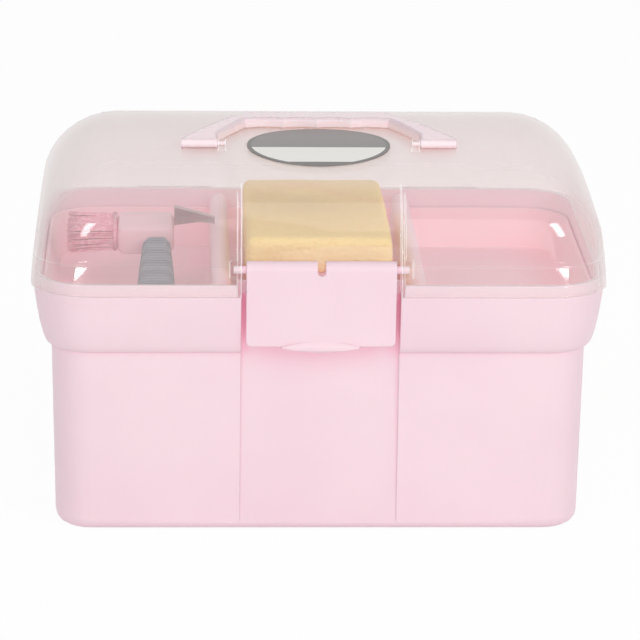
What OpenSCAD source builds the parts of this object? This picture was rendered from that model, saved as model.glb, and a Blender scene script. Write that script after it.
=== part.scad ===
// Horse grooming box: a moulded tub with a lift-out tray, a clear dome lid,
// a snap latch, a folding carry handle, and the tools that lie in the tray.
// Millimetres. X runs to the right, Y to the back, Z up, origin under the middle of the base.

/* [Tub] */
// Width of the tub just under its collar
body_w = 278.5; // [240:0.5:320]
// Depth of the tub just under its collar
body_d = 185.5; // [160:0.5:220]
// Height of the plain body, up to the collar
body_h = 98.4; // [80:0.1:130]
// How far each side leans in at the base
body_draft = 1.5; // [0.5:0.1:4]
// Corner radius of the body in plan
body_corner = 21; // [15:0.5:30]
// Rounding between the base and the sides
base_round = 7; // [4:0.5:10]
// Wall of the tub
tub_wall = 2; // [1.5:0.1:3]
// Height of the flared collar
collar_h = 32; // [24:0.5:40]
// How far the collar stands out from the body
collar_out = 9.2; // [7:0.1:12]
// Height of the rim that stands inside the lid
rim_h = 6; // [3:0.1:7]
// How far the rim stands in from the collar
rim_step = 1.5; // [1.2:0.1:1.8]
// Width of the shelf inside the collar that carries the tray
shelf_w = 3.6; // [2.5:0.1:4.5]

/* [Centre channel] */
// Gap on each side of the latch in the channel down the front
latch_side_gap = 2.5; // [2:0.25:6]
// Depth of the channel in the body
channel_d = 2; // [1:0.1:3]
// Depth of the channel in the lid
lid_channel_d = 9; // [8:0.1:11]

/* [Lid] */
// Wall of the lid
lid_wall = 2; // [1.5:0.1:2.6]
// How far the skirt stands out past the collar
skirt_out = 1.4; // [1.2:0.1:3]
// Height of the straight skirt
skirt_h = 16; // [12:0.5:20]
// Lean of the skirt's sides
skirt_lean = 1.4; // [0.5:0.1:2]
// Step from the skirt in to the dome
dome_step = 0.4; // [0.2:0.1:1.2]
// Height of the dome over the skirt
dome_h = 51; // [42:0.5:65]
// Radius of the arched top, front to back
arch_r = 250; // [220:5:400]
// Lean of the dome's sides over its whole height
dome_lean = 3; // [1:0.5:6]
// Width of the rounding at the dome's ends
shoulder_w = 38; // [25:1:45]
// Height of the rounding at the dome's ends
shoulder_h = 44; // [30:1:48]
// Width of the rounding along the dome's front and back
brow_w = 22; // [15:1:28]
// Height of the rounding along the dome's front and back
brow_h = 26; // [18:1:40]
// Corner radius of the skirt in plan
lid_corner = 31; // [26:0.5:36]

/* [Hinge] */
// Distance of each hinge from the middle
hinge_x = 75; // [60:1:95]
// Width of the lid's knuckle
knuckle_w = 24; // [16:1:30]
// Width of each ear on the tub
ear_w = 8; // [6:0.5:10]
// Radius of the knuckles and ears
knuckle_r = 4.5; // [4:0.1:5]
// Radius of the hinge pins
pin_r = 2; // [1.5:0.1:2.5]
// Distance of the hinge axis behind the skirt
hinge_back = 5.5; // [5.2:0.1:8]
// Side gap between a knuckle and an ear
hinge_gap = 0.4; // [0.2:0.1:0.8]

/* [Latch] */
// Width of the latch
latch_w = 77; // [60:0.5:88]
// Length of the latch below its pivot
latch_len = 40.5; // [38:0.5:44]
// Thickness of the latch plate
latch_t = 3; // [2:0.1:3.2]
// Radius of the latch's rolled top
latch_roll = 4.5; // [4:0.1:4.8]
// Height of the latch pivot over the lid's lower edge
latch_pivot_h = 14; // [12:0.5:16]
// Radius of the latch's stub pins
stub_r = 2; // [1.5:0.1:2.4]
// Width of the finger lip
lip_w = 41; // [25:1:50]
// How far the finger lip stands out
lip_out = 2.4; // [1.5:0.1:4]
// Width of the slot in the latch's top edge
notch_w = 4.2; // [3:0.1:6]

/* [Handle] */
// Half the distance over the handle's feet
foot_out = 72; // [66:0.5:80]
// Half the distance between the handle's feet
foot_in = 53; // [50:0.5:60]
// Half the length of the straight grip, outside
grip_half = 38; // [34:0.5:46]
// Distance of the handle pivot in front of the middle
handle_front = 42.5; // [36:0.5:44]
// Distance from the pivot to the near edge of the grip
finger_reach = 31.5; // [26:0.5:34]
// Width of the grip
grip_w = 15.5; // [13:0.5:20]
// Thickness of the handle
handle_t = 5; // [4:0.1:7]
// Radius of the rounded edges on the handle's top
handle_edge = 1.6; // [0.8:0.1:2]
// Gap between the folded handle and the lid
handle_lift = 0.5; // [0.4:0.1:1.5]
// Number of finger scallops
scallops = 4; // [3:1:5]
// Depth of a finger scallop
scallop_d = 1.6; // [0.8:0.1:2.5]
// Thickness of each lug on the lid
lug_w = 4; // [3:0.1:5]

/* [Label] */
// Width of the oval label
label_w = 75; // [60:0.5:85]
// Depth of the oval label
label_d = 49; // [40:0.5:50]
// Distance of the label's middle in front of the lid's middle
label_front = 38; // [34:0.5:40]
// Thickness of the label
label_t = 0.6; // [0.4:0.1:1]

/* [Tray] */
// Gap between the tray and the tub
tray_gap = 0.8; // [0.6:0.1:1.5]
// Wall of the tray
tray_wall = 1.6; // [1.2:0.1:2.2]
// Depth of the tray inside
tray_depth = 22; // [18:0.5:25]
// Distance of each ridge from the middle
ridge_x = 51; // [47:0.5:60]
// Width over a ridge
ridge_w = 10; // [8:0.5:12]
// Height of a ridge over the tray floor
ridge_h = 31; // [24:0.5:34]

/* [Sponge] */
// Width of the sponge
sponge_w = 76; // [60:0.5:82]
// Front-to-back length of the sponge
sponge_d = 140; // [70:1:150]
// Height of the sponge
sponge_h = 51.5; // [40:0.5:74]
// Rounding of the sponge's edges
sponge_edge = 5; // [3:0.5:8]

/* [Hoof pick] */
// Length of the hoof pick's grip
grip_len = 84; // [70:1:92]
// Width of the grip at its far end
pick_grip_w = 22; // [16:0.5:24]
// Thickness of the grip at its far end
pick_grip_t = 16; // [12:0.5:18]
// Size of the grip at the head, as a share of its far end
grip_neck = 0.62; // [0.55:0.01:1]
// Number of ribs on the grip
grip_ribs = 18; // [6:1:20]
// Depth of a rib
rib_d = 0.5; // [0.3:0.1:0.8]
// Length of the head, from bristles to blade
head_w = 31; // [26:0.5:34]
// Height of the head
head_h = 15; // [13:0.5:20]
// Depth of the head
head_d = 24; // [22:0.5:30]
// Length of the bristles
bristle_len = 27; // [20:0.5:29]
// Radius of a bristle
bristle_r = 0.36; // [0.28:0.02:0.4]
// Number of rows of bristles
bristle_rows = 13; // [12:1:15]
// Number of bristles in a row
bristle_cols = 24; // [24:1:30]
// Length of the blade
blade_len = 22; // [16:0.5:24]
// Thickness of the blade
blade_t = 3; // [2:0.1:4]
// How steeply the grip leans down to the front
pick_tilt = 13; // [10:0.5:16]

/* [Hidden] */
$fn = 48;

// Fits and gaps
rest_gap = 0.3;
run_gap = 0.06;
seat_gap = 0.03;
past = 1;

// Colours
pink = "#fbdfe8";
clear_pink = "#ecdcdc";
tray_pink = "#f6ccd8";
deep_pink = "#e8628f";
yellow = "#f5d38c";
grey = "#85858c";
steel = "#8d8587";
label_grey = "#8f8b8a";

// The channel takes the latch and its side gaps
channel_w = latch_w + 2 * latch_side_gap;

// Main heights
collar_top = body_h + collar_h;
rim_top = collar_top + rim_h;
lid_low = collar_top + rest_gap;
skirt_top = lid_low + skirt_h;
crown = skirt_top + dome_h;

// Half sizes in plan
body_a = body_w / 2;
body_b = body_d / 2;
collar_a = body_a + collar_out;
collar_b = body_b + collar_out;
skirt_a = collar_a + skirt_out;
skirt_b = collar_b + skirt_out;

// Places of the pivots
hinge_y = skirt_b + hinge_back;
hinge_z = lid_low;
latch_clear = 0.5;
latch_y = -skirt_b + lid_channel_d - latch_roll - latch_clear;
latch_z = lid_low + latch_pivot_h;
handle_r = arch_r + handle_lift;
handle_z = crown - arch_r + sqrt(pow(handle_r + handle_t / 2, 2) - pow(handle_front, 2));

// The tray stands on the shelf, and what lies in the tray stands on its floor
shelf_z = body_h + 2 * tub_wall;
tray_low = shelf_z + rest_gap;
tray_floor = tray_low + tray_wall;
tray_top = tray_floor + tray_depth;

// How full the collar's lower edge is
collar_bulge = 0.4;
collar_steps = [0.004, 0.03, 0.08, 0.16, 0.32, 0.6, 1];
corner_steps = 6;
side_steps = 8;
round_steps = 8;

// Rounded-rectangle ring that is the same on the left and the right, front to back and round again
function half_ring(a, b, r) = concat(
    [for (i = [0:corner_steps]) let (t = -90 + 90 * i / corner_steps) [a - r + r * cos(t), -b + r + r * sin(t)]],
    [for (i = [1:side_steps - 1]) [a, (b - r) * (2 * i / side_steps - 1)]],
    [for (i = [0:corner_steps]) let (t = 90 * i / corner_steps) [a - r + r * cos(t), b - r + r * sin(t)]]
);
function ring(a, b, r) = let (h = half_ring(a, b, r), n = len(h)) concat(
    h, [for (i = [n - 1:-1:0]) [-h[i][0], h[i][1]]]
);

// Solid through a stack of rings, each [z, half width, half depth, corner radius],
// whose heights over arch_from shrink so that the top at arch_to is an arch
function drop(y) = arch_r - sqrt(arch_r * arch_r - y * y);
function arched(z, y, arch_from, arch_to) = z <= arch_from ? z
    : arch_from + (z - arch_from) * (1 - drop(y) / (arch_to - arch_from));
function stack_points(rings, arch_from, arch_to) = [
    for (k = rings) for (p = ring(k[1], k[2], k[3])) [p[0], p[1], arched(k[0], p[1], arch_from, arch_to)]
];
function side_faces(n, count) = [
    for (k = [0:count - 2]) for (i = [0:n - 1]) let (j = (i + 1) % n)
        each [[k * n + i, k * n + n + i, k * n + n + j], [k * n + i, k * n + n + j, k * n + j]]
];
function cap_faces(n, base, up) = [
    for (i = [0:n / 2 - 2]) let (a = base + i, b = base + i + 1, c = base + n - 2 - i, d = base + n - 1 - i)
        each up ? [[a, d, c], [a, c, b]] : [[a, b, c], [a, c, d]]
];
no_arch = 1e6;
module stack(rings, arch_from = no_arch, arch_to = 2 * no_arch) {
    n = len(ring(10, 10, 2));
    count = len(rings);
    polyhedron(
        stack_points(rings, arch_from, arch_to),
        concat(side_faces(n, count), cap_faces(n, 0, false), cap_faces(n, (count - 1) * n, true))
    );
}

// A profile drawn in Y and Z, drawn out along X about the middle
module along_x(width) rotate([90, 0, 90]) translate([0, 0, -width / 2]) linear_extrude(width) children();

// Outline of the tub at a height, taken in by an even wall
function lean(z) = body_draft * (1 - z / body_h);
function bulge(s) = collar_out * pow(s, collar_bulge);
function grown(z, off, corner) = [z, body_a + off, body_b + off, corner + off];

module tub_outer() stack(concat(
    [for (i = [0:4]) let (t = 90 * i / 4)
        grown(base_round * (1 - cos(t)), -lean(0) - base_round * (1 - sin(t)), body_corner)],
    [grown(body_h, 0, body_corner)],
    [for (s = collar_steps) grown(body_h + collar_h * s, bulge(s), body_corner)],
    [grown(collar_top, collar_out - rim_step, body_corner), grown(rim_top, collar_out - rim_step, body_corner)]
));

// The collar's inside follows its outside, a wall further in, from the shelf up
module tub_inner() stack(concat(
    [for (i = [0:4]) let (t = 90 * i / 4, r = base_round - tub_wall)
        grown(tub_wall + r * (1 - cos(t)), -tub_wall - lean(0) - r * (1 - sin(t)), body_corner)],
    [grown(shelf_z, -tub_wall, body_corner), grown(shelf_z, shelf_w - tub_wall, body_corner)],
    [for (s = [0.32, 0.6]) grown(body_h + collar_h * s, bulge(s) - tub_wall, body_corner)],
    [grown(collar_top - rim_step, collar_out - rim_step - tub_wall, body_corner)],
    [grown(rim_top + past, collar_out - rim_step - tub_wall, body_corner)]
));

// The channel down the front of the tub, with the wall behind it when grown
channel_floor_y = -body_b + channel_d;
module tub_channel(by, low) translate([-channel_w / 2 - by, -2 * body_b, low])
    cube([channel_w + 2 * by, body_b + channel_d + by, rim_top + past - low]);

// Relief in the rim for the side walls and floor of the lid's channel
module lid_relief() let (half = channel_w / 2 + lid_wall + rest_gap)
    translate([-half, -2 * body_b, collar_top])
        cube([2 * half, 2 * body_b - skirt_b + lid_channel_d + lid_wall + rest_gap, rim_h + past]);

// Bead on the channel wall that the latch's hook snaps under
keeper_drop = 17;
keeper_z = lid_low - keeper_drop;
keeper_h = 3;
keeper_out = 5.4;
module keeper() translate([-latch_w / 4, channel_floor_y - keeper_out, keeper_z])
    cube([latch_w / 2, keeper_out + tub_wall / 2, keeper_h]);

// Ear of the tub: a web from the collar out to a round end about the hinge axis
ear_drop = 12;
module ear_shape() {
    translate([hinge_y, hinge_z]) circle(knuckle_r);
    polygon([
        [collar_b - 2 * tub_wall, hinge_z - rest_gap - rim_step],
        [collar_b - 2 * tub_wall, hinge_z - ear_drop - knuckle_r],
        [collar_b, hinge_z - ear_drop - knuckle_r],
        [hinge_y + knuckle_r * cos(45), hinge_z - knuckle_r * cos(45)],
        [hinge_y - knuckle_r * cos(45), hinge_z - knuckle_r * cos(45) + 1],
        [hinge_y - knuckle_r, hinge_z - rest_gap - rim_step],
    ]);
}
ear_x = knuckle_w / 2 + hinge_gap + ear_w / 2;
module ears() for (side = [-1, 1], end = [-1, 1])
    translate([side * hinge_x + end * ear_x, 0, 0]) along_x(ear_w) ear_shape();
module hinge_bores(r) for (side = [-1, 1]) translate([side * hinge_x, hinge_y, hinge_z])
    rotate([0, 90, 0]) cylinder(r = r, h = knuckle_w + 2 * ear_w + 4, center = true);

module tub() color(pink) difference() {
    union() {
        difference() {
            tub_outer();
            tub_channel(0, -past);
            lid_relief();
        }
        keeper();
        ears();
    }
    difference() {
        tub_inner();
        tub_channel(tub_wall, -past);
    }
    hinge_bores(pin_r + seat_gap);
}

// Outline of the lid at a height: skirt, then the leaning dome that rounds over at the ends
top_corner = 14;
corner_from = 0.4;
function brow(h, w, tall) = h <= 0 ? 0 : w * (1 - sqrt(max(0, 1 - pow(h / tall, 2))));
function dome_ring(h, in) = let (
    top = dome_h - in,
    slope = skirt_lean + dome_step + dome_lean * h / top,
    ends = slope + in + brow(h - (top - shoulder_h), shoulder_w - in, shoulder_h),
    faces = slope + in + brow(h - (top - brow_h), brow_w - in, brow_h)
) [skirt_top + h, skirt_a - ends, skirt_b - faces, lid_corner - in - (lid_corner - top_corner) * max(0, h / top - corner_from)];
function dome_heights(in) = let (top = dome_h - in) concat(
    [0], [for (i = [0:round_steps]) top - shoulder_h * (1 - sin(90 * i / round_steps))]
);
module lid_outer() stack(concat(
    [[lid_low, skirt_a, skirt_b, lid_corner], [skirt_top, skirt_a - skirt_lean, skirt_b - skirt_lean, lid_corner]],
    [for (h = dome_heights(0)) dome_ring(h, 0)]
), skirt_top, crown);

// The skirt's inside steps in over the tub's rim, so that the lid sits on it
seat_z = rim_top + rest_gap;
seat_lap = 0.8;
seat_in = lid_wall + rim_step + seat_lap;
module lid_inner() stack(concat(
    [for (z = [lid_low - past, seat_z]) [z, skirt_a - lid_wall, skirt_b - lid_wall, lid_corner - lid_wall]],
    [[seat_z, skirt_a - seat_in, skirt_b - seat_in, lid_corner - seat_in]],
    [for (h = dome_heights(lid_wall)) dome_ring(h, lid_wall)]
), skirt_top, crown - lid_wall);

// The channel in the lid's front: its floor follows the front and runs out into the top
channel_rise = 3;
function floor_point(h, in) = let (y = -(skirt_b - skirt_lean - dome_step - dome_lean * h / dome_h - in
        - brow(h - (dome_h - brow_h), brow_w, brow_h)))
    [y, arched(skirt_top + h, y, skirt_top, crown) + channel_rise * h / dome_h];
module lid_channel(by) along_x(channel_w + 2 * by) polygon(concat(
    [[-2 * skirt_b, crown + 10], [-2 * skirt_b, lid_low - 2 * past]],
    [[-skirt_b + lid_channel_d + by, lid_low - 2 * past], [-skirt_b + lid_channel_d + by, skirt_top]],
    [for (i = [1:8]) floor_point(dome_h * i / 8, lid_channel_d + by)],
    [[-skirt_b + lid_channel_d + by + brow_w + skirt_lean + dome_lean, crown + 10]]
));

module latch_axis(r, from, to) for (side = [-1, 1]) translate([side * from, latch_y, latch_z])
    rotate([0, side * 90, 0]) cylinder(r = r, h = to - from);
boss_len = 6;
boss_r = stub_r + 2.6;
module latch_bosses() latch_axis(boss_r, channel_w / 2 + lid_wall / 2, channel_w / 2 + boss_len);

// Lugs on top of the lid, just inside the handle's feet
lug_in = foot_in - rest_gap - lug_w;
lug_root = 6;
module lugs() for (side = [-1, 1]) translate([side * (lug_in + lug_w / 2), 0, 0]) along_x(lug_w) {
    translate([-handle_front, handle_z]) circle(handle_t / 2);
    translate([-handle_front - handle_t / 2, crown - lug_root]) square([handle_t, handle_z - crown + lug_root]);
}
module lid_knuckles() for (side = [-1, 1]) translate([side * hinge_x, 0, 0]) along_x(knuckle_w) {
    translate([hinge_y, hinge_z]) circle(knuckle_r);
    translate([skirt_b - lid_wall / 2, hinge_z]) square([hinge_back + lid_wall / 2, knuckle_r]);
}
module handle_axis(r, from, to) for (side = [-1, 1]) translate([side * from, -handle_front, handle_z])
    rotate([0, side * 90, 0]) cylinder(r = r, h = to - from);
handle_pin_r = handle_t / 4;

module lid() color(clear_pink, 0.45) difference() {
    union() {
        difference() {
            lid_outer();
            lid_channel(0);
        }
        lugs();
        lid_knuckles();
    }
    difference() {
        lid_inner();
        lid_channel(lid_wall);
        latch_bosses();
    }
    latch_axis(stub_r + run_gap, channel_w / 2 - past, channel_w / 2 + boss_len - lid_wall);
    handle_axis(handle_pin_r + run_gap, lug_in - past, foot_in + past);
    hinge_bores(pin_r + run_gap);
}

// Hinge pins, pressed in the ears and free in the lid's knuckles
module hinge_pin(side) color(steel) translate([side * hinge_x, hinge_y, hinge_z])
    rotate([0, 90, 0]) cylinder(r = pin_r, h = knuckle_w + 2 * hinge_gap + 2 * ear_w, center = true);
module hinge_pin_left() hinge_pin(-1);
module hinge_pin_right() hinge_pin(1);

// Latch: a rolled top about the pivot, a plate that leans in with the collar, and a hook behind it
latch_lean = 2.2;
hook_z = keeper_z - latch_z - 1.6;
hook_t = 3;
hook_reach = channel_floor_y - latch_y - keeper_out + 2;
module latch_side() {
    circle(latch_roll);
    polygon([
        [-latch_roll, 0], [-latch_roll + latch_lean, -latch_len],
        [-latch_roll + latch_lean + latch_t, -latch_len], [-latch_roll + latch_t, 0]
    ]);
}
module hook_side() polygon([
    [-latch_t / 2, hook_z], [hook_reach, hook_z], [hook_reach - 1, hook_z - hook_t], [-latch_t / 2, hook_z - hook_t - 3]
]);
// Finger lip: a lens across the lower edge, seen from the front, that stands out as a ledge
lip_drop = 2.8;
lip_r = (lip_w * lip_w / 4 + lip_drop * lip_drop) / (2 * lip_drop);
module lip_side() translate([-latch_roll + latch_lean, -latch_len]) polygon([
    [latch_t / 2, lip_drop], [0, lip_drop], [-lip_out, 0], [-lip_out, -lip_drop / 2],
    [-lip_out / 2, -lip_drop], [latch_t / 2, -lip_drop]
]);
module lip_front() translate([0, -latch_len]) intersection() {
    translate([0, lip_r - lip_drop]) circle(lip_r);
    translate([0, lip_drop - lip_r]) circle(lip_r);
}
latch_corner = 3;
module latch_front() {
    translate([-latch_w / 2, -latch_len + latch_corner]) square([latch_w, latch_len + latch_roll - latch_corner]);
    translate([-latch_w / 2 + latch_corner, -latch_len]) square([latch_w - 2 * latch_corner, latch_len]);
    for (side = [-1, 1]) translate([side * (latch_w / 2 - latch_corner), -latch_len + latch_corner]) circle(latch_corner);
}
module through_y() rotate([90, 0, 0]) translate([0, 0, -skirt_b]) linear_extrude(2 * skirt_b) children();
notch_h = 7;
module latch() color(pink) translate([0, latch_y, latch_z]) difference() {
    union() {
        intersection() {
            along_x(latch_w) latch_side();
            through_y() latch_front();
        }
        along_x(latch_w / 2) hook_side();
        intersection() {
            along_x(lip_w) lip_side();
            through_y() lip_front();
        }
        translate([0, -latch_y, -latch_z]) latch_axis(stub_r, latch_w / 2 - past, channel_w / 2 + boss_len - lid_wall - rest_gap);
    }
    through_y() translate([-notch_w / 2, latch_roll - notch_h]) {
        translate([0, notch_w / 2]) square([notch_w, notch_h]);
        translate([notch_w / 2, notch_w / 2]) circle(notch_w / 2);
    }
}

// Handle: a loop drawn in plan that follows the arched top, rounded along its top edges by stepped layers
grip_front = finger_reach;
grip_back = finger_reach + grip_w;
foot_rise = 2;
leg_rise = 8;
scallop_end = 2;
module loop_outside(in) polygon([
    [-foot_out + in, 0], [-foot_out + in, foot_rise], [-grip_half + in * 0.7, grip_back - in],
    [grip_half - in * 0.7, grip_back - in], [foot_out - in, foot_rise], [foot_out - in, 0]
]);
module loop_inside(in) polygon([
    [-foot_in - in, -past], [-foot_in - in, leg_rise], [-grip_half - in, grip_front + in],
    [grip_half + in, grip_front + in], [foot_in + in, leg_rise], [foot_in + in, -past]
]);
scallop_w = 2 * (grip_half - scallop_end) / scallops;
scallop_r = (scallop_w * scallop_w / 4 + scallop_d * scallop_d) / (2 * scallop_d);
module loop_plan(in) difference() {
    loop_outside(in);
    loop_inside(in);
    intersection() {
        translate([-scallops * scallop_w / 2, grip_front - handle_edge]) square([scallops * scallop_w, grip_w / 2]);
        for (i = [0:scallops - 1])
            translate([(i - (scallops - 1) / 2) * scallop_w, grip_front + scallop_d + in - scallop_r])
                circle(scallop_r, $fn = arch_facets);
    }
}
arch_reach = 30;
arch_facets = 240;
module arch_shell(low, high, width) translate([0, 0, crown - arch_r]) rotate([0, 90, 0]) difference() {
    cylinder(r = high, h = width, center = true, $fn = arch_facets);
    cylinder(r = low, h = width + 2 * past, center = true, $fn = arch_facets);
}
module handle_layer(low, high, in) intersection() {
    arch_shell(handle_r + low, handle_r + high, 2 * foot_out + 2 * past);
    translate([0, -handle_front, crown - arch_reach]) linear_extrude(2 * arch_reach) loop_plan(in);
}
handle_flat = handle_t - handle_edge;
foot_r = handle_t * 0.46;
module handle() color(pink) {
    handle_layer(0, handle_flat, 0);
    for (turn = [30, 60, 90])
        handle_layer(handle_flat / 2, handle_flat + handle_edge * sin(turn), handle_edge * (1 - cos(turn)));
    for (side = [-1, 1]) translate([side * (foot_in + foot_out) / 2, -handle_front, handle_z])
        rotate([0, 90, 0]) cylinder(r = foot_r, h = foot_out - foot_in, center = true);
    handle_axis(handle_pin_r, lug_in, foot_in + past);
}

// Name label: an oval sheet that follows the arched top
label_gap = 0.1;
module name_label() color(label_grey) intersection() {
    translate([0, -label_front, crown - arch_reach]) linear_extrude(2 * arch_reach)
        polygon([for (i = [0:59]) [label_w / 2 * cos(6 * i), label_d / 2 * sin(6 * i)]]);
    arch_shell(arch_r + label_gap, arch_r + label_gap + label_t, label_w + 2 * past);
}

// Tray: a shallow tray with two hollow ridges
tray_a = collar_a - rim_step - tub_wall - tray_gap;
tray_b = collar_b - rim_step - tub_wall - tray_gap;
tray_corner = body_corner + collar_out - rim_step - tub_wall - tray_gap;
// The tray's sides lean in so that its floor clears the wall beside the shelf by the same gap
tray_draft = collar_out - rim_step - shelf_w;
module tray_stack(low, high, in) stack([
    [low, tray_a - tray_draft - in, tray_b - tray_draft - in, tray_corner - tray_draft - in],
    [high, tray_a - in, tray_b - in, tray_corner - in]
]);
module tray_notch(by) translate([-channel_w / 2 - by, -2 * tray_b, tray_low - past])
    cube([channel_w + 2 * by, 2 * tray_b - body_b + channel_d + by, tray_top - tray_low + 3 * past]);
module ridge_shape(in) {
    translate([0, tray_low + ridge_h + tray_wall - ridge_w / 2]) circle(ridge_w / 2 - in);
    translate([-ridge_w / 2 + in, tray_low - (in > 0 ? past : 0)])
        square([ridge_w - 2 * in, ridge_h + tray_wall - ridge_w / 2 + (in > 0 ? past : 0)]);
}
ridge_len = 2 * (tray_b - tray_draft) - tray_wall;
module ridges(in) for (side = [-1, 1]) translate([side * ridge_x, 0, 0])
    rotate([90, 0, 0]) translate([0, 0, -ridge_len / 2 + in]) linear_extrude(ridge_len - 2 * in) ridge_shape(in);
module tray() color(tray_pink) difference() {
    union() {
        difference() {
            tray_stack(tray_low, tray_top, 0);
            tray_notch(tub_wall + tray_gap);
            difference() {
                tray_stack(tray_floor, tray_top + past, tray_wall);
                tray_notch(tub_wall + tray_gap + tray_wall);
            }
        }
        ridges(0);
    }
    ridges(tray_wall);
}

// Sponge: a soft block with rounded edges, standing in the middle compartment
sponge_back_off = 6.5;
sponge_front = channel_floor_y + tub_wall + tray_gap + tray_wall + sponge_back_off;
module sponge() color(yellow) translate([0, sponge_front + sponge_d / 2, tray_floor + rest_gap]) stack([
    for (i = [0:3]) let (t = 30 * i, in = sponge_edge * (1 - sin(t)))
        [sponge_edge * (1 - cos(t)), sponge_w / 2 - in, sponge_d / 2 - in, sponge_edge * 1.6 - in],
    for (i = [0:3]) let (t = 90 - 30 * i, in = sponge_edge * (1 - sin(t)))
        [sponge_h - sponge_edge * (1 - cos(t)), sponge_w / 2 - in, sponge_d / 2 - in, sponge_edge * 1.6 - in]
]);

// Hoof pick: its grip lies down to the front of the left compartment, and its blade's tip on the ridge
ridge_top = tray_low + ridge_h + tray_wall;
tip_over = 2.5;
grip_drop = 1;
grip_end = 9;
pick_x = -ridge_x - ridge_w / 2 + tip_over - blade_len - head_w / 2;
pick_front_gap = 17;
pick_y = -(tray_b - tray_draft - tray_wall) + pick_front_gap + (head_d / 2 + grip_len) * cos(pick_tilt);
pick_z = tray_floor + rest_gap + (head_d / 2 + grip_len - grip_end) * sin(pick_tilt)
    + (pick_grip_t / 2 + grip_drop) * cos(pick_tilt);
module pick_frame() translate([pick_x, pick_y, pick_z]) rotate([pick_tilt, 0, 0]) children();
grip_side = 6;
rib_from = 3;
rib_pitch = (grip_len - grip_end - rib_from) / (2 * grip_ribs);
function grip_share(z) = grip_neck + (1 - grip_neck) * pow(min(1, z / (grip_len - grip_end)), 0.7);
function grip_ring(z, in) = let (w = pick_grip_w / 2 * grip_share(z) - in, t = pick_grip_t / 2 * grip_share(z) - in)
    [z, w, t, 0.72 * t];
module hoof_pick_handle() color(grey) pick_frame() translate([grip_side, -head_d / 2, -grip_drop]) rotate([90, 0, 0]) stack(concat(
    [grip_ring(0, 2 * rib_d)],
    [for (i = [0:2 * grip_ribs]) grip_ring(rib_from + rib_pitch * i, i % 2 == 0 ? rib_d : 0)],
    [for (t = [30, 60, 85]) grip_ring(grip_len - grip_end * (1 - sin(t)), rib_d + 0.7 * grip_end * (1 - cos(t)))]
));
module hoof_pick_head() color(pink) pick_frame() translate([0, 0, -head_h / 2]) stack([
    [0, head_w / 2 - 1.5, head_d / 2, 4], [2, head_w / 2, head_d / 2, 4],
    [head_h - 4, head_w / 2, head_d / 2, 4], [head_h - 1.2, head_w / 2 - 1.2, head_d / 2 - 1.2, 3.5],
    [head_h, head_w / 2 - 4, head_d / 2 - 4, 3]
]);
bristle_slice = 2;
bristle_fan = 1.12;
brush_margin = 2;
brush_h = head_h - 2 * brush_margin;
brush_d = head_d - 2 * brush_margin;
module hoof_pick_bristles() color(deep_pink) pick_frame() translate([-head_w / 2, 0, 0]) rotate([0, -90, 0])
    resize([0, 0, bristle_len]) union() {
        translate([-brush_h / 2 - 1, -brush_d / 2 - 1, 0]) cube([brush_h + 2, brush_d + 2, bristle_slice]);
        translate([0, 0, bristle_slice / 2]) linear_extrude(bristle_len - bristle_slice / 2, scale = bristle_fan)
            for (i = [0:bristle_rows - 1], j = [0:bristle_cols - 1])
                translate([brush_h * (i / (bristle_rows - 1) - 0.5), brush_d * (j / (bristle_cols - 1) - 0.5)])
                    circle(bristle_r, $fn = 3);
    }
// Blade: a tapering strip set on the head's right side, with its tip's lower edge just over the ridge
blade_root = 11;
blade_tip = 3.5;
blade_y = 8.5;
blade_low = (ridge_top + rest_gap - pick_z - (blade_y - blade_t / 2) * sin(pick_tilt)) / cos(pick_tilt);
module hoof_pick_blade() color(steel) pick_frame() translate([head_w / 2, blade_y, blade_low]) rotate([90, 0, 0])
    linear_extrude(blade_t, center = true) polygon([
        [0, -1], [blade_len * 0.6, 1], [blade_len, 0], [blade_len, blade_tip], [blade_len * 0.5, blade_root * 0.62],
        [0, blade_root - 1]
    ]);

tub();
lid();
hinge_pin_left();
hinge_pin_right();
latch();
handle();
tray();
name_label();
sponge();
hoof_pick_handle();
hoof_pick_head();
hoof_pick_bristles();
hoof_pick_blade();
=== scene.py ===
"""Looks, light and camera for the horse grooming box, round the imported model."""

import math
import random

import bmesh
import bpy
from mathutils import Matrix, Vector, noise


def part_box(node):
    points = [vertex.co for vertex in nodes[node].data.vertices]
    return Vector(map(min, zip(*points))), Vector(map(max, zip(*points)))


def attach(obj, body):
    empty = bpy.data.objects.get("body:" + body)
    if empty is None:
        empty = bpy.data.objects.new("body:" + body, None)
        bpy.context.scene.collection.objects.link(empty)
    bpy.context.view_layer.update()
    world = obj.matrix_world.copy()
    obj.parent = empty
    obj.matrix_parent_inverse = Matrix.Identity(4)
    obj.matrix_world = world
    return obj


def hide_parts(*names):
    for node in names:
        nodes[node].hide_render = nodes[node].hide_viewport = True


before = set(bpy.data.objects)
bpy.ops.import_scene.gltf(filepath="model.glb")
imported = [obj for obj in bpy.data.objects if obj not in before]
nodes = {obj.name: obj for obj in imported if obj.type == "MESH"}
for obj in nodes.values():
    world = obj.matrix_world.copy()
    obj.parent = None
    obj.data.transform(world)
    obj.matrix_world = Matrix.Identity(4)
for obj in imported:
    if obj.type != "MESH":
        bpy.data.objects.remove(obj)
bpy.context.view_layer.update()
scene = bpy.context.scene

MM = 0.001

# Camera, fitted to the photograph's viewing angle
CAMERA_AZIMUTH = -2.22
CAMERA_ELEVATION = 16.18
CAMERA_DISTANCE = 2.008
CAMERA_ROLL = 0.756
CAMERA_LENS = 208.8
CAMERA_CENTRE = Vector((0.0, 0.0, 0.100))
CAMERA_AIM = Vector((0.0035, 0.0, 0.0885))

# Edges sharper than this stay crisp
CRISP_ANGLE = math.radians(32)

# Share of light that each face of the lid scatters and mirrors, face on and edge on
LID_HAZE = 0.1, 0.8
LID_GLOSS = 0.055, 0.45

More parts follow.
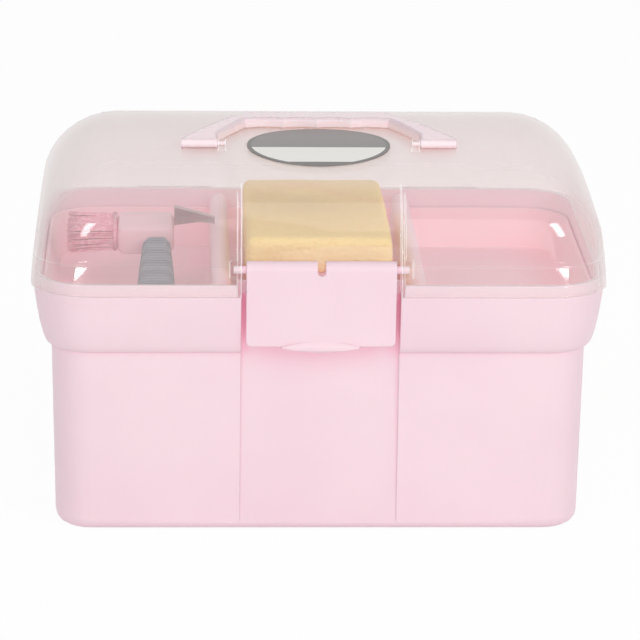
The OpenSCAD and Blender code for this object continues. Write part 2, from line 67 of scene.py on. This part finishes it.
# Width of the lid's rounded edges, and the share of near-white haze painted along its upright edges as a
# highlight
LID_EDGE = 1.4 * MM
LID_EDGE_HIGHLIGHT_HAZE = 0.75

# Dark print at the rim and the foot of the label
LABEL_EDGE = 0.2, 0.19, 0.185, 1.0

# Where the label's writing field starts and ends from foot to top, and where its rim starts, as shares
LABEL_FIELD = 0.08, 0.43
LABEL_RIM = 0.945

# Wave scale that gives the grip a rib every 3 mm
RIB_SCALE = 105.0

# Tilt of the hoof pick in the tray
PICK_TILT = math.radians(13)

# Strength of the light from all round, and share of the floor that shows as plain white
FILL_STRENGTH = 0.55
FLOOR_GLOW = 0.95

# Point that the soft boxes face
BOX_AIM = 0.0, 0.0, 0.12


def add(tree, kind, values=None, **settings):
    """A new shader or geometry node with its settings and unlinked input values."""
    node = tree.nodes.new(kind)
    for key, value in settings.items():
        setattr(node, key, value)
    for key, value in (values or {}).items():
        node.inputs[key].default_value = value
    return node


def principled(name, **values):
    """A material with one Principled shader; underscores in names stand for spaces."""
    mat = bpy.data.materials.new(name)
    mat.use_nodes = True
    tree = mat.node_tree
    bsdf = tree.nodes["Principled BSDF"]
    for key, value in values.items():
        bsdf.inputs[key.replace("_", " ")].default_value = value
    return mat, tree, bsdf


def object_noise(tree, scale, detail=3.0, rough=0.5, stretch=(1.0, 1.0, 1.0)):
    """Noise over the piece's own coordinates, in metres."""
    coords = add(tree, "ShaderNodeTexCoord")
    mapping = add(tree, "ShaderNodeMapping")
    mapping.inputs["Scale"].default_value = stretch
    tex = add(tree, "ShaderNodeTexNoise", {"Scale": scale, "Detail": detail, "Roughness": rough})
    tree.links.new(coords.outputs["Object"], mapping.inputs["Vector"])
    tree.links.new(mapping.outputs["Vector"], tex.inputs["Vector"])
    return tex.outputs["Fac"]


def mixed_colour(tree, factor, low, high, low_at=0.35, high_at=0.65):
    """A colour that runs from low to high as the factor rises."""
    ramp = add(tree, "ShaderNodeValToRGB")
    ramp.color_ramp.elements[0].position = low_at
    ramp.color_ramp.elements[0].color = (*low, 1.0)
    ramp.color_ramp.elements[1].position = high_at
    ramp.color_ramp.elements[1].color = (*high, 1.0)
    tree.links.new(factor, ramp.inputs["Fac"])
    return ramp.outputs["Color"]


def spread(tree, factor, low, high):
    """A number that runs from low to high as the factor goes from 0 to 1."""
    ramp = add(tree, "ShaderNodeMapRange", {"To Min": low, "To Max": high})
    tree.links.new(factor, ramp.inputs["Value"])
    return ramp.outputs["Result"]


def bumped(tree, bsdf, height, strength, distance, edge=0.0):
    """Relief on the shader from a height, over edges that catch the light as if rounded."""
    bump = add(tree, "ShaderNodeBump", {"Strength": strength, "Distance": distance})
    if edge:
        worn = add(tree, "ShaderNodeBevel", {"Radius": edge}, samples=6)
        tree.links.new(worn.outputs["Normal"], bump.inputs["Normal"])
    tree.links.new(height, bump.inputs["Height"])
    tree.links.new(bump.outputs["Normal"], bsdf.inputs["Normal"])


def upright_edges(tree, radius):
    """0 on flat faces, rising to 1 along sharp edges where the surface turns to the left or right."""
    soft = add(tree, "ShaderNodeBevel", {"Radius": radius}, samples=8)
    flat = add(tree, "ShaderNodeNewGeometry")
    turn = add(tree, "ShaderNodeVectorMath", operation="SUBTRACT")
    tree.links.new(soft.outputs["Normal"], turn.inputs[0])
    tree.links.new(flat.outputs["Normal"], turn.inputs[1])
    sideways = add(tree, "ShaderNodeSeparateXYZ")
    tree.links.new(turn.outputs["Vector"], sideways.inputs["Vector"])
    size = add(tree, "ShaderNodeMath", operation="ABSOLUTE")
    tree.links.new(sideways.outputs["X"], size.inputs[0])
    share = add(tree, "ShaderNodeMapRange", {"From Min": 0.22, "From Max": 0.5})
    tree.links.new(size.outputs["Value"], share.inputs["Value"])
    return share.outputs["Result"]


def let_light_through(tree, shader, colour, *rays):
    """Lets the named light rays pass the plastic, dimmed by the colour at each side of its wall."""
    path = add(tree, "ShaderNodeLightPath")
    passing = add(tree, "ShaderNodeMath", {1: 0.0}, operation="MAXIMUM")
    for i, ray in enumerate(rays):
        tree.links.new(path.outputs[ray], passing.inputs[i])
    clear = add(tree, "ShaderNodeBsdfTransparent", {"Color": (*colour, 1.0)})
    mix = add(tree, "ShaderNodeMixShader")
    tree.links.new(passing.outputs["Value"], mix.inputs["Fac"])
    tree.links.new(shader, mix.inputs[1])
    tree.links.new(clear.outputs["BSDF"], mix.inputs[2])
    tree.links.new(mix.outputs["Shader"], tree.nodes["Material Output"].inputs["Surface"])


def moulded_plastic(name, low, high, rough_low, rough_high, edge=0.9 * MM, grain=1500.0, relief=0.12):
    """Injection-moulded plastic: faint clouding, uneven sheen, a fine grain and a pink glow in gaps."""
    mat, tree, bsdf = principled(
        name, IOR=1.49, Subsurface_Weight=0.1, Subsurface_Radius=(1.0, 0.45, 0.6), Subsurface_Scale=3.0 * MM
    )
    let_light_through(tree, bsdf.outputs["BSDF"], (0.94, 0.5, 0.67), "Is Shadow Ray")
    clouds = object_noise(tree, 16.0, 2.0)
    tree.links.new(mixed_colour(tree, clouds, low, high), bsdf.inputs["Base Color"])
    sheen = object_noise(tree, 70.0, 3.0)
    tree.links.new(spread(tree, sheen, rough_low, rough_high), bsdf.inputs["Roughness"])
    bumped(tree, bsdf, object_noise(tree, grain, 2.0), relief, 0.2 * MM, edge)
    return mat


def lid_plastic():
    """Thin clear plastic: hazier and glossier where it is seen at a slant, clear to lamps, and with a
    painted highlight of near-white haze along its upright edges.
    """
    mat, tree, haze = principled("clear_plastic", Roughness=0.4)
    # Painted highlight: along upright edges the haze grows thicker and near-white, standing in for the
    # glint of the soft boxes
    edge = upright_edges(tree, LID_EDGE)
    milk_with_edge_highlight = mixed_colour(tree, edge, (0.84, 0.755, 0.745), (1.0, 0.97, 0.97), 0.0, 1.0)
    tree.links.new(milk_with_edge_highlight, haze.inputs["Base Color"])
    clear = add(tree, "ShaderNodeBsdfTransparent", {"Color": (0.98, 0.963, 0.96, 1.0)})
    slant = add(tree, "ShaderNodeLayerWeight")
    deep = add(tree, "ShaderNodeMath", {1: 2.0}, operation="POWER")
    steep = add(tree, "ShaderNodeMath", {1: 5.0}, operation="POWER")
    tree.links.new(slant.outputs["Facing"], deep.inputs[0])
    tree.links.new(slant.outputs["Facing"], steep.inputs[0])
    cloudy = add(tree, "ShaderNodeMath", operation="MAXIMUM")
    tree.links.new(spread(tree, deep.outputs["Value"], *LID_HAZE), cloudy.inputs[0])
    tree.links.new(spread(tree, edge, 0.0, LID_EDGE_HIGHLIGHT_HAZE), cloudy.inputs[1])
    milky = add(tree, "ShaderNodeMixShader")
    tree.links.new(cloudy.outputs["Value"], milky.inputs["Fac"])
    tree.links.new(clear.outputs["BSDF"], milky.inputs[1])
    tree.links.new(haze.outputs["BSDF"], milky.inputs[2])
    gloss = add(tree, "ShaderNodeBsdfGlossy", {"Color": (1.0, 1.0, 1.0, 1.0)})
    ripple = object_noise(tree, 45.0, 2.0)
    tree.links.new(spread(tree, ripple, 0.015, 0.05), gloss.inputs["Roughness"])
    bumped(tree, gloss, object_noise(tree, 30.0, 1.0), 0.05, 0.3 * MM, LID_EDGE)
    mix = add(tree, "ShaderNodeMixShader")
    tree.links.new(spread(tree, steep.outputs["Value"], *LID_GLOSS), mix.inputs["Fac"])
    tree.links.new(milky.outputs["Shader"], mix.inputs[1])
    tree.links.new(gloss.outputs["BSDF"], mix.inputs[2])
    let_light_through(tree, mix.outputs["Shader"], (0.99, 0.985, 0.985), "Is Shadow Ray", "Is Diffuse Ray")
    return mat


def brushed_metal(name, low, high, stretch):
    """Metal with fine drawn lines."""
    mat, tree, bsdf = principled(name, Metallic=1.0)
    lines = object_noise(tree, 400.0, 3.0, 0.6, stretch)
    tree.links.new(mixed_colour(tree, lines, low, high), bsdf.inputs["Base Color"])
    tree.links.new(spread(tree, lines, 0.28, 0.46), bsdf.inputs["Roughness"])
    bumped(tree, bsdf, lines, 0.1, 0.1 * MM)
    return mat


def label_film():
    """Oval printed film: a dark edge, a grey upper half, a bare writing field and a dark foot."""
    mat, tree, bsdf = principled("label_film", Roughness=0.32)
    low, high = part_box("name_label")
    centre = (low + high) / 2
    half = (high - low) / 2
    coords = add(tree, "ShaderNodeTexCoord")
    place = add(tree, "ShaderNodeMapping")
    place.inputs["Location"].default_value = (-centre.x / half.x, -centre.y / half.y, 0.0)
    place.inputs["Scale"].default_value = (1 / half.x, 1 / half.y, 0.0)
    tree.links.new(coords.outputs["Object"], place.inputs["Vector"])
    radius = add(tree, "ShaderNodeVectorMath", operation="LENGTH")
    tree.links.new(place.outputs["Vector"], radius.inputs[0])
    across = add(tree, "ShaderNodeSeparateXYZ")
    tree.links.new(place.outputs["Vector"], across.inputs["Vector"])
    field = add(tree, "ShaderNodeValToRGB")
    field.color_ramp.interpolation = "CONSTANT"
    field.color_ramp.elements[0].color = LABEL_EDGE
    field.color_ramp.elements[1].position = LABEL_FIELD[1]
    field.color_ramp.elements[1].color = (0.26, 0.245, 0.24, 1.0)
    field.color_ramp.elements.new(LABEL_FIELD[0]).color = (0.84, 0.82, 0.78, 1.0)
    rise = add(tree, "ShaderNodeMapRange", {"From Min": -1.0})
    tree.links.new(across.outputs["Y"], rise.inputs["Value"])
    tree.links.new(rise.outputs["Result"], field.inputs["Fac"])
    ring = add(tree, "ShaderNodeValToRGB")
    ring.color_ramp.interpolation = "CONSTANT"
    ring.color_ramp.elements[0].color = (0.0, 0.0, 0.0, 1.0)
    ring.color_ramp.elements[1].position = LABEL_RIM
    ring.color_ramp.elements[1].color = (1.0, 1.0, 1.0, 1.0)
    tree.links.new(radius.outputs["Value"], ring.inputs["Fac"])
    mix = add(tree, "ShaderNodeMix", data_type="RGBA")
    mix.inputs["B"].default_value = LABEL_EDGE
    tree.links.new(ring.outputs["Color"], mix.inputs["Factor"])
    tree.links.new(field.outputs["Color"], mix.inputs["A"])
    tree.links.new(mix.outputs["Result"], bsdf.inputs["Base Color"])
    bumped(tree, bsdf, object_noise(tree, 900.0, 2.0), 0.05, 0.1 * MM)
    return mat


def foam():
    """Open-cell foam: warm yellow, with painted shade that darkens it towards the middle of pores of mixed
    size.
    """
    mat, tree, bsdf = principled("sponge_foam", Roughness=0.95, Specular_IOR_Level=0.15)
    coords = add(tree, "ShaderNodeTexCoord")
    cells = add(tree, "ShaderNodeTexVoronoi", {"Scale": 420.0})
    tree.links.new(coords.outputs["Object"], cells.inputs["Vector"])
    # Painted shade in the pores: deeper, darker yellow towards each cell's middle
    pore_shade = mixed_colour(tree, cells.outputs["Distance"], (0.98, 0.63, 0.17), (1.0, 0.75, 0.27), 0.05, 0.4)
    tree.links.new(pore_shade, bsdf.inputs["Base Color"])
    bumped(tree, bsdf, cells.outputs["Distance"], 0.35, 0.8 * MM)
    return mat


def ribbed_rubber():
    """Soft-touch grip: blue-grey, dusty, with fine ribs across its length and painted shade in the grooves
    between them.
    """
    mat, tree, bsdf = principled("grip_plastic", Specular_IOR_Level=0.35)
    coords = add(tree, "ShaderNodeTexCoord")
    ribs = add(tree, "ShaderNodeTexWave", {"Scale": RIB_SCALE}, bands_direction="Y", wave_profile="SIN")
    tree.links.new(coords.outputs["Object"], ribs.inputs["Vector"])
    # Painted shade: darker in the grooves between the ribs, following the same wave as the relief
    shade = mixed_colour(tree, ribs.outputs["Fac"], (0.13, 0.145, 0.18), (0.25, 0.265, 0.31), 0.1, 0.6)
    tree.links.new(shade, bsdf.inputs["Base Color"])
    dust = object_noise(tree, 120.0, 4.0)
    tree.links.new(spread(tree, dust, 0.5, 0.7), bsdf.inputs["Roughness"])
    bumped(tree, bsdf, ribs.outputs["Fac"], 0.5, 0.5 * MM)
    return mat


def nylon():
    """Pink nylon in mixed shades."""
    mat, tree, bsdf = principled("bristle_nylon", Roughness=0.4)
    shade = mixed_colour(tree, object_noise(tree, 500.0, 2.0), (0.84, 0.28, 0.4), (0.95, 0.5, 0.6))
    tree.links.new(shade, bsdf.inputs["Base Color"])
    return mat


def smooth_by_angle():
    """Geometry nodes that drop stored normals, join doubled points and smooth all but crisp edges."""
    tree = bpy.data.node_groups.new("smooth_by_angle", "GeometryNodeTree")
    tree.interface.new_socket("Geometry", in_out="INPUT", socket_type="NodeSocketGeometry")
    tree.interface.new_socket("Geometry", in_out="OUTPUT", socket_type="NodeSocketGeometry")
    start = add(tree, "NodeGroupInput")
    end = add(tree, "NodeGroupOutput")
    plain = add(tree, "GeometryNodeRemoveAttribute", {"Name": "custom_normal"})
    merge = add(tree, "GeometryNodeMergeByDistance", {"Distance": 1e-6})
    faces = add(tree, "GeometryNodeSetShadeSmooth", {"Shade Smooth": True})
    edges = add(tree, "GeometryNodeSetShadeSmooth", {"Shade Smooth": False}, domain="EDGE")
    angle = add(tree, "GeometryNodeInputMeshEdgeAngle")
    sharp = add(tree, "FunctionNodeCompare", {"B": CRISP_ANGLE}, operation="GREATER_THAN")
    tree.links.new(start.outputs[0], plain.inputs["Geometry"])
    tree.links.new(plain.outputs["Geometry"], merge.inputs["Geometry"])
    tree.links.new(merge.outputs["Geometry"], faces.inputs["Geometry"])
    tree.links.new(faces.outputs["Geometry"], edges.inputs["Geometry"])
    tree.links.new(angle.outputs["Unsigned Angle"], sharp.inputs["A"])
    tree.links.new(sharp.outputs["Result"], edges.inputs["Selection"])
    tree.links.new(edges.outputs["Geometry"], end.inputs[0])
    return tree


def dress(node, material, smoothing):
    """Gives a CAD node its finish and smooth shading."""
    obj = nodes[node]
    obj.data.materials.clear()
    obj.data.materials.append(material)
    modifier = obj.modifiers.new("smooth", "NODES")
    modifier.node_group = smoothing


def new_piece(name, mesh, material, slot, body, *replaced):
    """Adds a mesh piece that rides on a body and stands for CAD nodes."""
    obj = bpy.data.objects.new(name, mesh)
    scene.collection.objects.link(obj)
    mesh.materials.append(material)
    for face in mesh.polygons:
        face.use_smooth = True
    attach(obj, body)
    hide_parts(*replaced)
    return obj


def build_sponge(material):
    """Foam block: finely divided, with soft edges, uneven sides, small pits and a slump to the back."""
    low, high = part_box("sponge")
    centre = (low + high) / 2
    half = (high - low) / 2
    step = 1.6 * MM
    edge = 5.0 * MM
    pore_scale = 330.0
    pit_width = 0.42
    pit_depth = 0.55 * MM
    wave_scale = 60.0
    sag = 0.5 * MM
    slump = 3.5 * MM
    slump_at_middle = 0.25
    mesh = bpy.data.meshes.new("sponge_foam")
    bm = bmesh.new()
    bmesh.ops.create_cube(bm, size=2.0)
    cuts = int(2 * half.y / step)
    bmesh.ops.subdivide_edges(bm, edges=bm.edges[:], cuts=cuts, use_grid_fill=True)
    inner = half - Vector((edge, edge, edge))
    for vert in bm.verts:
        place = Vector((vert.co.x * half.x, vert.co.y * half.y, vert.co.z * half.z))
        core = Vector([max(-inner[i], min(inner[i], place[i])) for i in range(3)])
        out = place - core
        if out.length > 0:
            out = out.normalized() * edge
        nearest = noise.voronoi((place + centre) * pore_scale)[0][0]
        pit = max(0.0, pit_width - nearest) / pit_width
        wave = noise.noise((place + centre) * wave_scale)
        skin = out.normalized() if out.length > 0 else Vector((0.0, 0.0, 1.0))
        vert.co = centre + core + out - skin * (pit * pit_depth + (0.5 + 0.5 * wave) * sag)
        back = max(0.0, slump_at_middle + (1 - slump_at_middle) * place.y / half.y)
        vert.co.z -= slump * back * back * (place.z + half.z) / (2 * half.z)
    bm.to_mesh(mesh)
    bm.free()
    sponge = new_piece("sponge_block", mesh, material, "sponge_foam", "tray", "sponge")


def build_bristles(material):
    """Nylon strands in rows on a thin backing, fanned out a little and cut unevenly."""
    rng = random.Random(7)
    low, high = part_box("hoof_pick_bristles")
    root = Vector((high.x, (low.y + high.y) / 2, (low.z + high.z) / 2))
    length = high.x - low.x
    tall, wide = 11.0 * MM, 20.0 * MM
    backing = 2.0 * MM
    rows, columns = 15, 28
    sides, joints = 5, 4
    thick = 0.42 * MM
    taper = 0.25
    fan = 0.12
    jitter = 0.2
    shortest = 0.84
    margin = 2.0 * MM
    tilt = Matrix.Rotation(PICK_TILT, 3, "X")
    mesh = bpy.data.meshes.new("bristles")
    bm = bmesh.new()
    plate = bmesh.ops.create_cube(bm, size=1.0)["verts"]
    for vert in plate:
        local = Vector((
            -backing * (0.5 - vert.co.x),
            vert.co.y * (wide + margin),
            vert.co.z * (tall + margin),
        ))
        vert.co = root + tilt @ local
    bmesh.ops.bevel(bm, geom=bm.edges[:], offset=0.5 * MM, segments=2, affect="EDGES")
    for i in range(rows):
        for j in range(columns):
            y = wide * (j / (columns - 1) - 0.5) + rng.uniform(-jitter, jitter) * MM
            z = tall * (i / (rows - 1) - 0.5) + rng.uniform(-jitter, jitter) * MM
            reach = length * rng.uniform(shortest, 1.0)
            bend = Vector((0.0, rng.uniform(-1.2, 1.2) * MM, rng.uniform(-1.6, 0.8) * MM))
            rings = []
            for k in range(joints + 1):
                t = k / joints
                out = backing * 0.5 + (reach - backing * 0.5) * t
                spot = Vector((-out, y * (1 + fan * t), z * (1 + fan * t))) + bend * t * t
                radius = thick * (1 - taper * t)
                ring = []
                for s in range(sides):
                    a = 2 * math.pi * s / sides
                    local = spot + Vector((0.0, radius * math.cos(a), radius * math.sin(a)))
                    ring.append(bm.verts.new(root + tilt @ local))
                rings.append(ring)
            for k in range(joints):
                for s in range(sides):
                    n = (s + 1) % sides
                    bm.faces.new((rings[k][s], rings[k + 1][s], rings[k + 1][n], rings[k][n]))
            bm.faces.new(rings[0])
            bm.faces.new(rings[-1][::-1])
    bmesh.ops.recalc_face_normals(bm, faces=bm.faces[:])
    bm.to_mesh(mesh)
    bm.free()
    new_piece("bristle_strands", mesh, material, "bristle_nylon", "tray", "hoof_pick_bristles")


def set_camera():
    """A long lens at the fitted place, turned by the fitted roll."""
    azimuth = math.radians(CAMERA_AZIMUTH)
    elevation = math.radians(CAMERA_ELEVATION)
    away = Vector((
        math.sin(azimuth) * math.cos(elevation),
        -math.cos(azimuth) * math.cos(elevation),
        math.sin(elevation),
    ))
    data = bpy.data.cameras.new("camera")
    data.lens = CAMERA_LENS
    data.sensor_width = 36.0
    data.clip_end = 50.0
    camera = bpy.data.objects.new("camera", data)
    scene.collection.objects.link(camera)
    camera.location = CAMERA_CENTRE + away * CAMERA_DISTANCE
    turn = (CAMERA_AIM - camera.location).to_track_quat("-Z", "Y").to_matrix().to_4x4()
    roll = Matrix.Rotation(math.radians(CAMERA_ROLL), 4, "Z")
    camera.matrix_world = Matrix.Translation(camera.location) @ turn @ roll
    scene.camera = camera


def soft_box(name, place, aim, width, height, power):
    """A rectangular studio lamp that faces its aim."""
    data = bpy.data.lights.new(name, "AREA")
    data.shape = "RECTANGLE"
    data.size = width
    data.size_y = height
    data.energy = power
    lamp = bpy.data.objects.new(name, data)
    scene.collection.objects.link(lamp)
    lamp.visible_camera = False
    lamp.location = place
    lamp.rotation_euler = (Vector(aim) - Vector(place)).to_track_quat("-Z", "Y").to_euler()


def seen_ray(tree):
    """1 for rays that show the backdrop: straight, mirrored or through glass."""
    path = add(tree, "ShaderNodeLightPath")
    first = add(tree, "ShaderNodeMath", operation="MAXIMUM")
    second = add(tree, "ShaderNodeMath", operation="MAXIMUM")
    tree.links.new(path.outputs["Is Camera Ray"], first.inputs[0])
    tree.links.new(path.outputs["Is Glossy Ray"], first.inputs[1])
    tree.links.new(first.outputs["Value"], second.inputs[0])
    tree.links.new(path.outputs["Is Transmission Ray"], second.inputs[1])
    return second.outputs["Value"]


def set_world():
    """White where it is seen, softer where it lights."""
    world = bpy.data.worlds.new("studio")
    scene.world = world
    world.use_nodes = True
    tree = world.node_tree
    tree.nodes.clear()
    shown = add(tree, "ShaderNodeBackground", {"Color": (1.0, 1.0, 1.0, 1.0), "Strength": 1.0})
    fill = add(tree, "ShaderNodeBackground", {"Color": (1.0, 1.0, 1.0, 1.0), "Strength": FILL_STRENGTH})
    mix = add(tree, "ShaderNodeMixShader")
    out = add(tree, "ShaderNodeOutputWorld")
    tree.links.new(seen_ray(tree), mix.inputs["Fac"])
    tree.links.new(fill.outputs["Background"], mix.inputs[1])
    tree.links.new(shown.outputs["Background"], mix.inputs[2])
    tree.links.new(mix.outputs["Shader"], out.inputs["Surface"])


def set_floor():
    """A white floor that keeps a faint shadow."""
    mesh = bpy.data.meshes.new("floor")
    bm = bmesh.new()
    bmesh.ops.create_grid(bm, x_segments=1, y_segments=1, size=6.0)
    bm.to_mesh(mesh)
    bm.free()
    floor = bpy.data.objects.new("floor", mesh)
    scene.collection.objects.link(floor)
    white = 0.95, 0.95, 0.95, 1.0
    mat, tree, bsdf = principled("floor", Base_Color=white, Roughness=0.8, Specular_IOR_Level=0.1)
    glow = add(tree, "ShaderNodeEmission", {"Color": (1.0, 1.0, 1.0, 1.0), "Strength": 1.0})
    share = add(tree, "ShaderNodeMath", {1: FLOOR_GLOW}, operation="MULTIPLY")
    mix = add(tree, "ShaderNodeMixShader")
    tree.links.new(seen_ray(tree), share.inputs[0])
    tree.links.new(share.outputs["Value"], mix.inputs["Fac"])
    tree.links.new(bsdf.outputs["BSDF"], mix.inputs[1])
    tree.links.new(glow.outputs["Emission"], mix.inputs[2])
    tree.links.new(mix.outputs["Shader"], tree.nodes["Material Output"].inputs["Surface"])
    mesh.materials.append(mat)


pink = moulded_plastic("pink_plastic", (0.855, 0.645, 0.715), (0.875, 0.675, 0.735), 0.34, 0.46)
pale_pink = moulded_plastic("handle_plastic", (0.93, 0.76, 0.81), (0.945, 0.79, 0.83), 0.22, 0.32, 1.2 * MM)
tray_pink = moulded_plastic("tray_plastic", (0.95, 0.63, 0.69), (0.96, 0.67, 0.72), 0.4, 0.55)
head_pink = moulded_plastic("head_plastic", (0.85, 0.55, 0.62), (0.87, 0.59, 0.65), 0.25, 0.35)
clear = lid_plastic()
pin_steel = brushed_metal("pin_steel", (0.5, 0.5, 0.52), (0.68, 0.68, 0.7), (0.1, 1.0, 1.0))
blade_steel = brushed_metal("blade_steel", (0.46, 0.36, 0.38), (0.56, 0.46, 0.48), (0.1, 1.0, 1.0))
smoothing = smooth_by_angle()

for node in ("tub", "latch"):
    dress(node, pink, smoothing)
dress("handle", pale_pink, smoothing)
for node in ("hinge_pin_left", "hinge_pin_right"):
    dress(node, pin_steel, smoothing)
dress("lid", clear, smoothing)
dress("tray", tray_pink, smoothing)
dress("name_label", label_film(), smoothing)
dress("hoof_pick_handle", ribbed_rubber(), smoothing)
dress("hoof_pick_head", head_pink, smoothing)
dress("hoof_pick_blade", blade_steel, smoothing)
build_sponge(foam())
build_bristles(nylon())

set_camera()
set_world()
set_floor()
# Two tall boxes, a broad panel, and two low strips for the small highlights in the lid's corners
soft_box("left_box", (-1.14, -1.66, 1.36), BOX_AIM, 0.46, 1.25, 10.0)
soft_box("right_box", (1.4, -1.5, 1.4), BOX_AIM, 0.46, 1.25, 14.8)
soft_box("right_panel", (0.45, -1.75, 1.03), (0.07, -0.1, 0.165), 0.95, 2.1, 3.8)
soft_box("left_strip", (-0.46, -0.92, 0.08), (-0.122, -0.102, 0.143), 0.3, 0.009, 0.2)
soft_box("right_strip", (0.56, -0.87, 0.08), (0.124, -0.102, 0.143), 0.3, 0.009, 0.2)

scene.view_settings.view_transform = "Standard"
